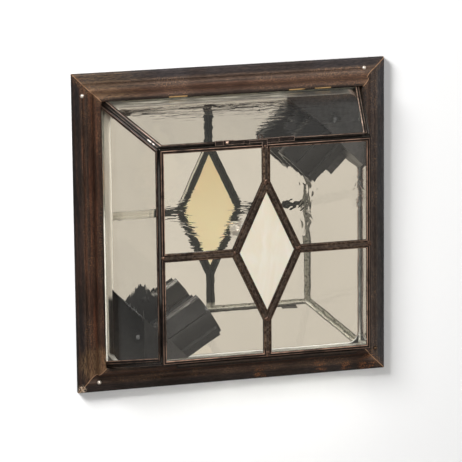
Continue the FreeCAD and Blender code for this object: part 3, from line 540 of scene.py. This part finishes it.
# The function that makes each material, its name and its settings
FINISHES = (
    (frame_bronze, "frame_bronze_x", dict(along_x=True)),
    (frame_bronze, "frame_bronze_y", dict(along_x=False)),
    (channel_metal, "channel_door", dict(crest=INTO_ROOM, brown=CAME_BROWN)),
    (channel_metal, "channel_glint", dict(crest=INTO_ROOM, brown=CAME_BROWN,
                                          glint=((-16, -34, -118), 42))),
    (channel_metal, "channel_latch", dict(crest=(0, -SLOPE_OUT, SLOPE_DOWN),
                                          line=(0.74, 0.53, 0.41))),
    (channel_metal, "channel_hinge", dict(crest=(0, SLOPE_OUT, SLOPE_DOWN))),
    (channel_metal, "channel_left", dict(crest=(-SLOPE_OUT, 0, SLOPE_DOWN))),
    (channel_metal, "channel_right", dict(crest=(SLOPE_OUT, 0, SLOPE_DOWN))),
    (channel_metal, "latch_brass", dict(crest=INTO_ROOM, dark=(0.015, 0.011, 0.010),
                                        line=(0.72, 0.52, 0.42), worn_and_lit_edge=0.5)),
    (solder_metal, "solder", dict(dark=(0.016, 0.011, 0.009), light=(0.11, 0.075, 0.055),
                                  bright=((-109, -109, -106), 17))),
    (solder_metal, "blob_solder", dict(dark=(0.030, 0.020, 0.016), light=(0.24, 0.14, 0.10))),
    (solder_metal, "seam_solder", dict(dark=(0.036, 0.027, 0.022), light=(0.13, 0.097, 0.078))),
    (wavy_glass, "clear_glass", {}),
    (wavy_glass, "rippled_glass", dict(ripples=DOOR_RIPPLES)),
    (wavy_glass, "right_glass", dict(ripples=RIGHT_RIPPLES)),
    (wavy_glass, "left_glass", dict(ripples=LEFT_RIPPLES)),
    (wavy_glass, "top_glass", dict(ripples=TOP_RIPPLES, index=1.52)),
    (opal_glass, "opal_glass", {}),
    (mirror_metal, "mirror", {}),
    (galvanised, "pan_steel", {}),
    (threaded, "nipple_thread", dict(dark=(0.40, 0.40, 0.37), light=(0.70, 0.69, 0.64),
                                     pitch=0.94, roughness=0.32)),
    (rolled_metal, "zinc_steel", dict(dark=(0.45, 0.45, 0.42), light=(0.68, 0.67, 0.62),
                                      roughness=0.34)),
    (rolled_metal, "cap_nickel", dict(dark=(0.84, 0.80, 0.74), light=(0.93, 0.89, 0.82),
                                      roughness=0.42, scale=120.0)),
    (rolled_metal, "copper_screw", dict(dark=(0.50, 0.33, 0.26), light=(0.84, 0.64, 0.53),
                                        roughness=0.26)),
    (rolled_metal, "socket_brass", dict(dark=(0.50, 0.36, 0.15), light=(0.78, 0.60, 0.28),
                                        roughness=0.26)),
    (rolled_metal, "black_steel", dict(dark=(0.010, 0.0095, 0.0095), light=(0.020, 0.019, 0.0185),
                                       roughness=0.45, metallic=0.2)),
    # The black steel again, painted lighter for the bracket that light falls on: painted light.
    (rolled_metal, "grey_steel", dict(dark=(0.035, 0.034, 0.0355), light=(0.074, 0.072, 0.073),
                                      roughness=0.42, metallic=0.2)),
    (rolled_metal, "hinge_bronze", dict(dark=(0.010, 0.007, 0.0055), light=(0.034, 0.021, 0.014),
                                        roughness=0.5, scale=500.0, metallic=0.7)),
    (rolled_metal, "ground_green", dict(dark=(0.03, 0.16, 0.05), light=(0.08, 0.32, 0.11),
                                        roughness=0.32, metallic=0.7)),
    (bronzed_screw, "bronzed_screw", {}),
    (moulded, "phenolic", dict(colour=(0.005, 0.005, 0.0055), roughness=0.34, speck=0.004)),
    (moulded, "rubber", dict(colour=(0.015, 0.015, 0.015), roughness=0.65, speck=0.02)),
)
materials = {name: build(name, **options) for build, name, options in FINISHES}

# Finishes that differ from the slot in the record
FINISH_OF_NODE = {
    "frame_bar_latch": "frame_bronze_x",
    "frame_bar_hinge": "frame_bronze_x",
    "frame_bar_left": "frame_bronze_y",
    "frame_bar_right": "frame_bronze_y",
    "frame_screws": "bronzed_screw",
    "side_channel_latch": "channel_latch",
    "side_channel_hinge": "channel_hinge",
    "side_channel_left": "channel_left",
    "side_channel_right": "channel_right",
    "side_glass_latch": "top_glass",
    "side_glass_left": "left_glass",
    "door_channel_latch_left": "channel_glint",
    "door_glass_latch_left": "rippled_glass",
    "door_glass_latch_right": "right_glass",
    "catch_stud": "blob_solder",
    "latch_pivot": "copper_screw",
    "hinge_knuckles": "hinge_bronze",
    "hinge_rod": "hinge_bronze",
    "hinge_tube": "hinge_bronze",
    # The second bracket takes the black steel painted lighter: painted light.
    "lampholder_bracket_2": "grey_steel",
    "bracket_rivets": "black_steel",
    "nipple": "nipple_thread",
    "nipple_cap_nut": "cap_nickel",
}
FINISH_OF_SLOT = {"lead_channel": "channel_door"}
slots = {entry["node"]: entry["material_slot"] for entry in frame["record"]["subparts"]}
for name, node in nodes.items():
    slot = slots[name]
    material = materials[FINISH_OF_NODE.get(name) or FINISH_OF_SLOT.get(slot, slot)]
    if not node.material_slots:
        node.data.materials.append(material)
    for place in node.material_slots:
        place.material = material

# Soft edges on the plain sheet pieces and the lampholder bodies: width in millimetres, segments
LEAST_ANGLE = math.radians(40)
SOFT_EDGES = {
    "latch_arm": (0.22, 2), "latch_base": (0.22, 2), "latch_keeper": (0.22, 2),
    "lampholder_bracket_1": (0.25, 2), "lampholder_bracket_2": (0.25, 2),
    "mounting_strap": (0.25, 2),
    "lampholder_body_1": (0.5, 3), "lampholder_body_2": (0.5, 3),
}
for name, (width, segments) in SOFT_EDGES.items():
    bevel = nodes[name].modifiers.new("soft_edges", "BEVEL")
    bevel.width = width * MM
    bevel.segments = segments
    bevel.limit_method = "ANGLE"
    bevel.angle_limit = LEAST_ANGLE


def link(name, data):
    """An object in the scene, for a mesh, a lamp or a camera."""
    thing = bpy.data.objects.new(name, data)
    bpy.context.scene.collection.objects.link(thing)
    return thing


def mesh_from(name, bm, material, smooth):
    data = bpy.data.meshes.new(name)
    bm.normal_update()
    bm.to_mesh(data)
    bm.free()
    for polygon in data.polygons:
        polygon.use_smooth = smooth
    data.materials.append(material)
    return data


def mesh_piece(name, bm, material, body, smooth=True):
    """A piece of the light that rides on one of its bodies."""
    piece = link(name, mesh_from(name, bm, material, smooth))
    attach(piece, body)


def blob(name, place, radius, seed):
    """A flat drop of solder where channels meet, sitting on their crests."""
    level, height = -119.7, 0.9
    bm = bmesh.new()
    bmesh.ops.create_icosphere(bm, subdivisions=3, radius=1.0)
    for vert in bm.verts:
        x, y, z = vert.co
        angle = math.atan2(y, x)
        wobble = 1 + 0.12 * math.sin(3 * angle + seed) + 0.07 * math.sin(5 * angle + 2 * seed)
        vert.co = ((place[0] + radius * wobble * x) * MM, (place[1] + radius * wobble * y) * MM,
                   (level - height * z) * MM)
    mesh_piece(name, bm, materials["blob_solder"], "door")


def door_seam(name, start, end):
    """A thin run of solder that fills the groove between two neighbouring channels of the door."""
    section = ((-1.1, -119.82), (-0.55, -119.90), (0.0, -119.93), (0.55, -119.90),
               (1.1, -119.82), (0.0, -119.05))
    along = Vector((end[0] - start[0], end[1] - start[1])).normalized()
    bm = bmesh.new()
    rings = [[bm.verts.new(((x - along.y * offset) * MM, (y + along.x * offset) * MM, level * MM))
              for offset, level in section] for x, y in (start, end)]
    for index in range(len(section)):
        after = (index + 1) % len(section)
        bm.faces.new((rings[0][index], rings[0][after], rings[1][after], rings[1][index]))
    bm.faces.new(rings[0][::-1])
    bm.faces.new(rings[1])
    bmesh.ops.recalc_face_normals(bm, faces=bm.faces)
    mesh_piece(name, bm, materials["seam_solder"], "door", smooth=False)


# Drops of solder on the door: x, y and radius
DROPS = ((0, -63, 2.9), (-30, 1, 2.3), (30, 1, 2.9), (0, 65, 2.6),
         (0, -97.5, 2.2), (0, 98, 2.6), (-98, 1, 2.0), (98, 1, 2.7))
for number, (x, y, radius) in enumerate(DROPS):
    blob("solder_blob_%d" % (number + 1), (x, y), radius, 1.7 * number)

# The seams run from the tips of the diamond to the rim, and from tip to tip.
TIPS = ((-30, 1.1), (0, -62.9), (30, 1.1), (0, 65.1))
RIM_ENDS = ((-98, 1.1), (0, -97.5), (98, 1.1), (0, 98))
for number, (tip, rim_end) in enumerate(zip(TIPS, RIM_ENDS)):
    next_tip = TIPS[(number + 1) % len(TIPS)]
    door_seam("door_seam_%d" % (number + 1), tip, rim_end)
    door_seam("door_seam_%d" % (number + 1 + len(TIPS)), tip, next_tip)

# Camera, from its place and its forward and up directions
CAMERA_PLACE = (-0.8228, -0.6424, -2.8496)
FOCAL_PIXELS, PICTURE_PIXELS, SENSOR_WIDTH = 3200.2, 462, 36.0
forward = Vector((0.27116, 0.21390, 0.93847)).normalized()
right = forward.cross(Vector((0.06934, -0.97680, 0.20261))).normalized()
up = right.cross(forward).normalized()
camera = link("camera", bpy.data.cameras.new("camera"))
camera.matrix_world = Matrix((*zip(right, up, -forward, CAMERA_PLACE), (0, 0, 0, 1)))
camera.data.sensor_fit = "HORIZONTAL"
camera.data.sensor_width = SENSOR_WIDTH
camera.data.lens = FOCAL_PIXELS / PICTURE_PIXELS * SENSOR_WIDTH
camera.data.clip_start = 0.05
camera.data.clip_end = 50.0
bpy.context.scene.camera = camera


def backdrop():
    """A white ceiling round the light, seen from the room only. Outer and inner are half widths."""
    outer, inner, level = 3.0, 151.5 * MM, 1.0 * MM
    corners = ((-1, -1), (1, -1), (1, 1), (-1, 1))
    bm = bmesh.new()
    rings = [[bm.verts.new((x * half, y * half, level)) for x, y in corners]
             for half in (outer, inner)]
    for index in range(len(corners)):
        after = (index + 1) % len(corners)
        bm.faces.new((rings[0][index], rings[1][index], rings[1][after], rings[0][after]))
    s = Shader("white_ceiling")
    s.put(Base_Color=(0.94, 0.94, 0.94), Roughness=0.9, Specular_IOR_Level=0.0)
    s.clear_where(s.node("NewGeometry").outputs["Backfacing"])
    data = mesh_from("ceiling_backdrop", bm, s.material, smooth=False)
    if data.polygons[0].normal.z > 0:
        data.flip_normals()
    plane = link("ceiling_backdrop", data)
    plane.visible_glossy = False
    plane.visible_transmission = False
    return plane


def world():
    """White where the camera looks past the light. Mirror and glass see a room instead."""
    studio = bpy.data.worlds.new("studio")
    bpy.context.scene.world = studio
    studio.use_nodes = True
    w = Tree(studio.node_tree)
    ambient = w.tree.nodes["Background"]
    w.feed(ambient.inputs["Color"], WARM_WHITE)
    w.feed(ambient.inputs["Strength"], 0.26)
    direction = w.node("SeparateXYZ", Vector=w.node("TexCoord").outputs["Generated"])
    height = w.node("MapRange", Value=direction.outputs["Z"], From_Min=-1.0, From_Max=1.0)
    walls = w.ramp(height.outputs[0],
                   (0.0, (0.745, 0.70, 0.635)), (0.06, (0.73, 0.685, 0.62)),
                   (0.16, (0.42, 0.39, 0.35)), (0.36, (0.46, 0.44, 0.41)),
                   (0.50, (0.36, 0.35, 0.34)), (0.62, (0.15, 0.147, 0.142)))
    room = w.node("Background", Color=walls, Strength=1.0)
    seen = w.node("Background", Color=WHITE, Strength=1.0)
    path = w.node("LightPath").outputs
    sharp = w.math("MAXIMUM", path["Is Glossy Ray"], path["Is Transmission Ray"])
    indirect = w.mix_shaders(sharp, ambient, room)
    w.show("World Output", w.mix_shaders(path["Is Camera Ray"], indirect, seen))


def lamp(name, place, aim, size, watts, colour):
    data = bpy.data.lights.new(name, "AREA")
    data.shape = "RECTANGLE"
    data.size, data.size_y = size
    data.energy = watts
    data.color = colour
    light = link(name, data)
    light.location = place
    light.rotation_euler = (Vector(aim) - Vector(place)).to_track_quat("-Z", "Y").to_euler()
    return light


def group(name, pieces, leave_out=False):
    """A set of objects that a lamp is linked to, or that it leaves out."""
    collection = bpy.data.collections.new(name)
    for piece in pieces:
        collection.objects.link(piece)
    for entry in collection.collection_objects:
        entry.light_linking.link_state = "EXCLUDE" if leave_out else "INCLUDE"
    return collection


ceiling = backdrop()
world()
ceiling_only = group("ceiling_only", [ceiling])
lit = group("lit", [ceiling, nodes["side_glass_latch"], nodes["nipple_cap_nut"]], leave_out=True)
bars = group("bars", [nodes["frame_bar_" + side] for side in ("left", "right", "latch", "hinge")])
mirror_only = group("mirror_only", [nodes["mirror_reflector"]])

# Name, place, aim, size, watts, colour, what the lamp lights and what casts shadows in its light
LAMPS = (
    ("raking", (-1.7, -1.7, -0.85), (0, 0, 0), (0.9, 0.7), 135.0, WHITE, ceiling_only, bars),
    ("fill", (0, 0, -3.0), (0, 0, 0), (2.0, 2.0), 20.0, WHITE, ceiling_only, ceiling_only),
    ("key", (-0.45, -1.55, -1.7), (0, 0, -0.05), (0.7, 0.7), 40.0, WARM_WHITE, lit, None),
    ("strip", (1.5, -0.9, -0.9), (0, 0, -0.08), (0.25, 1.4), 6.0, WARM_WHITE, lit, None),
    ("above", (-0.9, -1.2, 1.6), (0, 0, 0), (1.6, 1.6), 60.0, WARM_WHITE, lit, None),
    ("edge_light", (0.7, 2.25, -1.15), (0, 0.12, -0.02), (2.2, 1.6), 45.0, WARM_WHITE,
     mirror_only, None),
)
for *settings, lights, shadows in LAMPS:
    light = lamp(*settings)
    light.light_linking.receiver_collection = lights
    light.light_linking.blocker_collection = shadows
bpy.context.scene.view_settings.view_transform = "Standard"
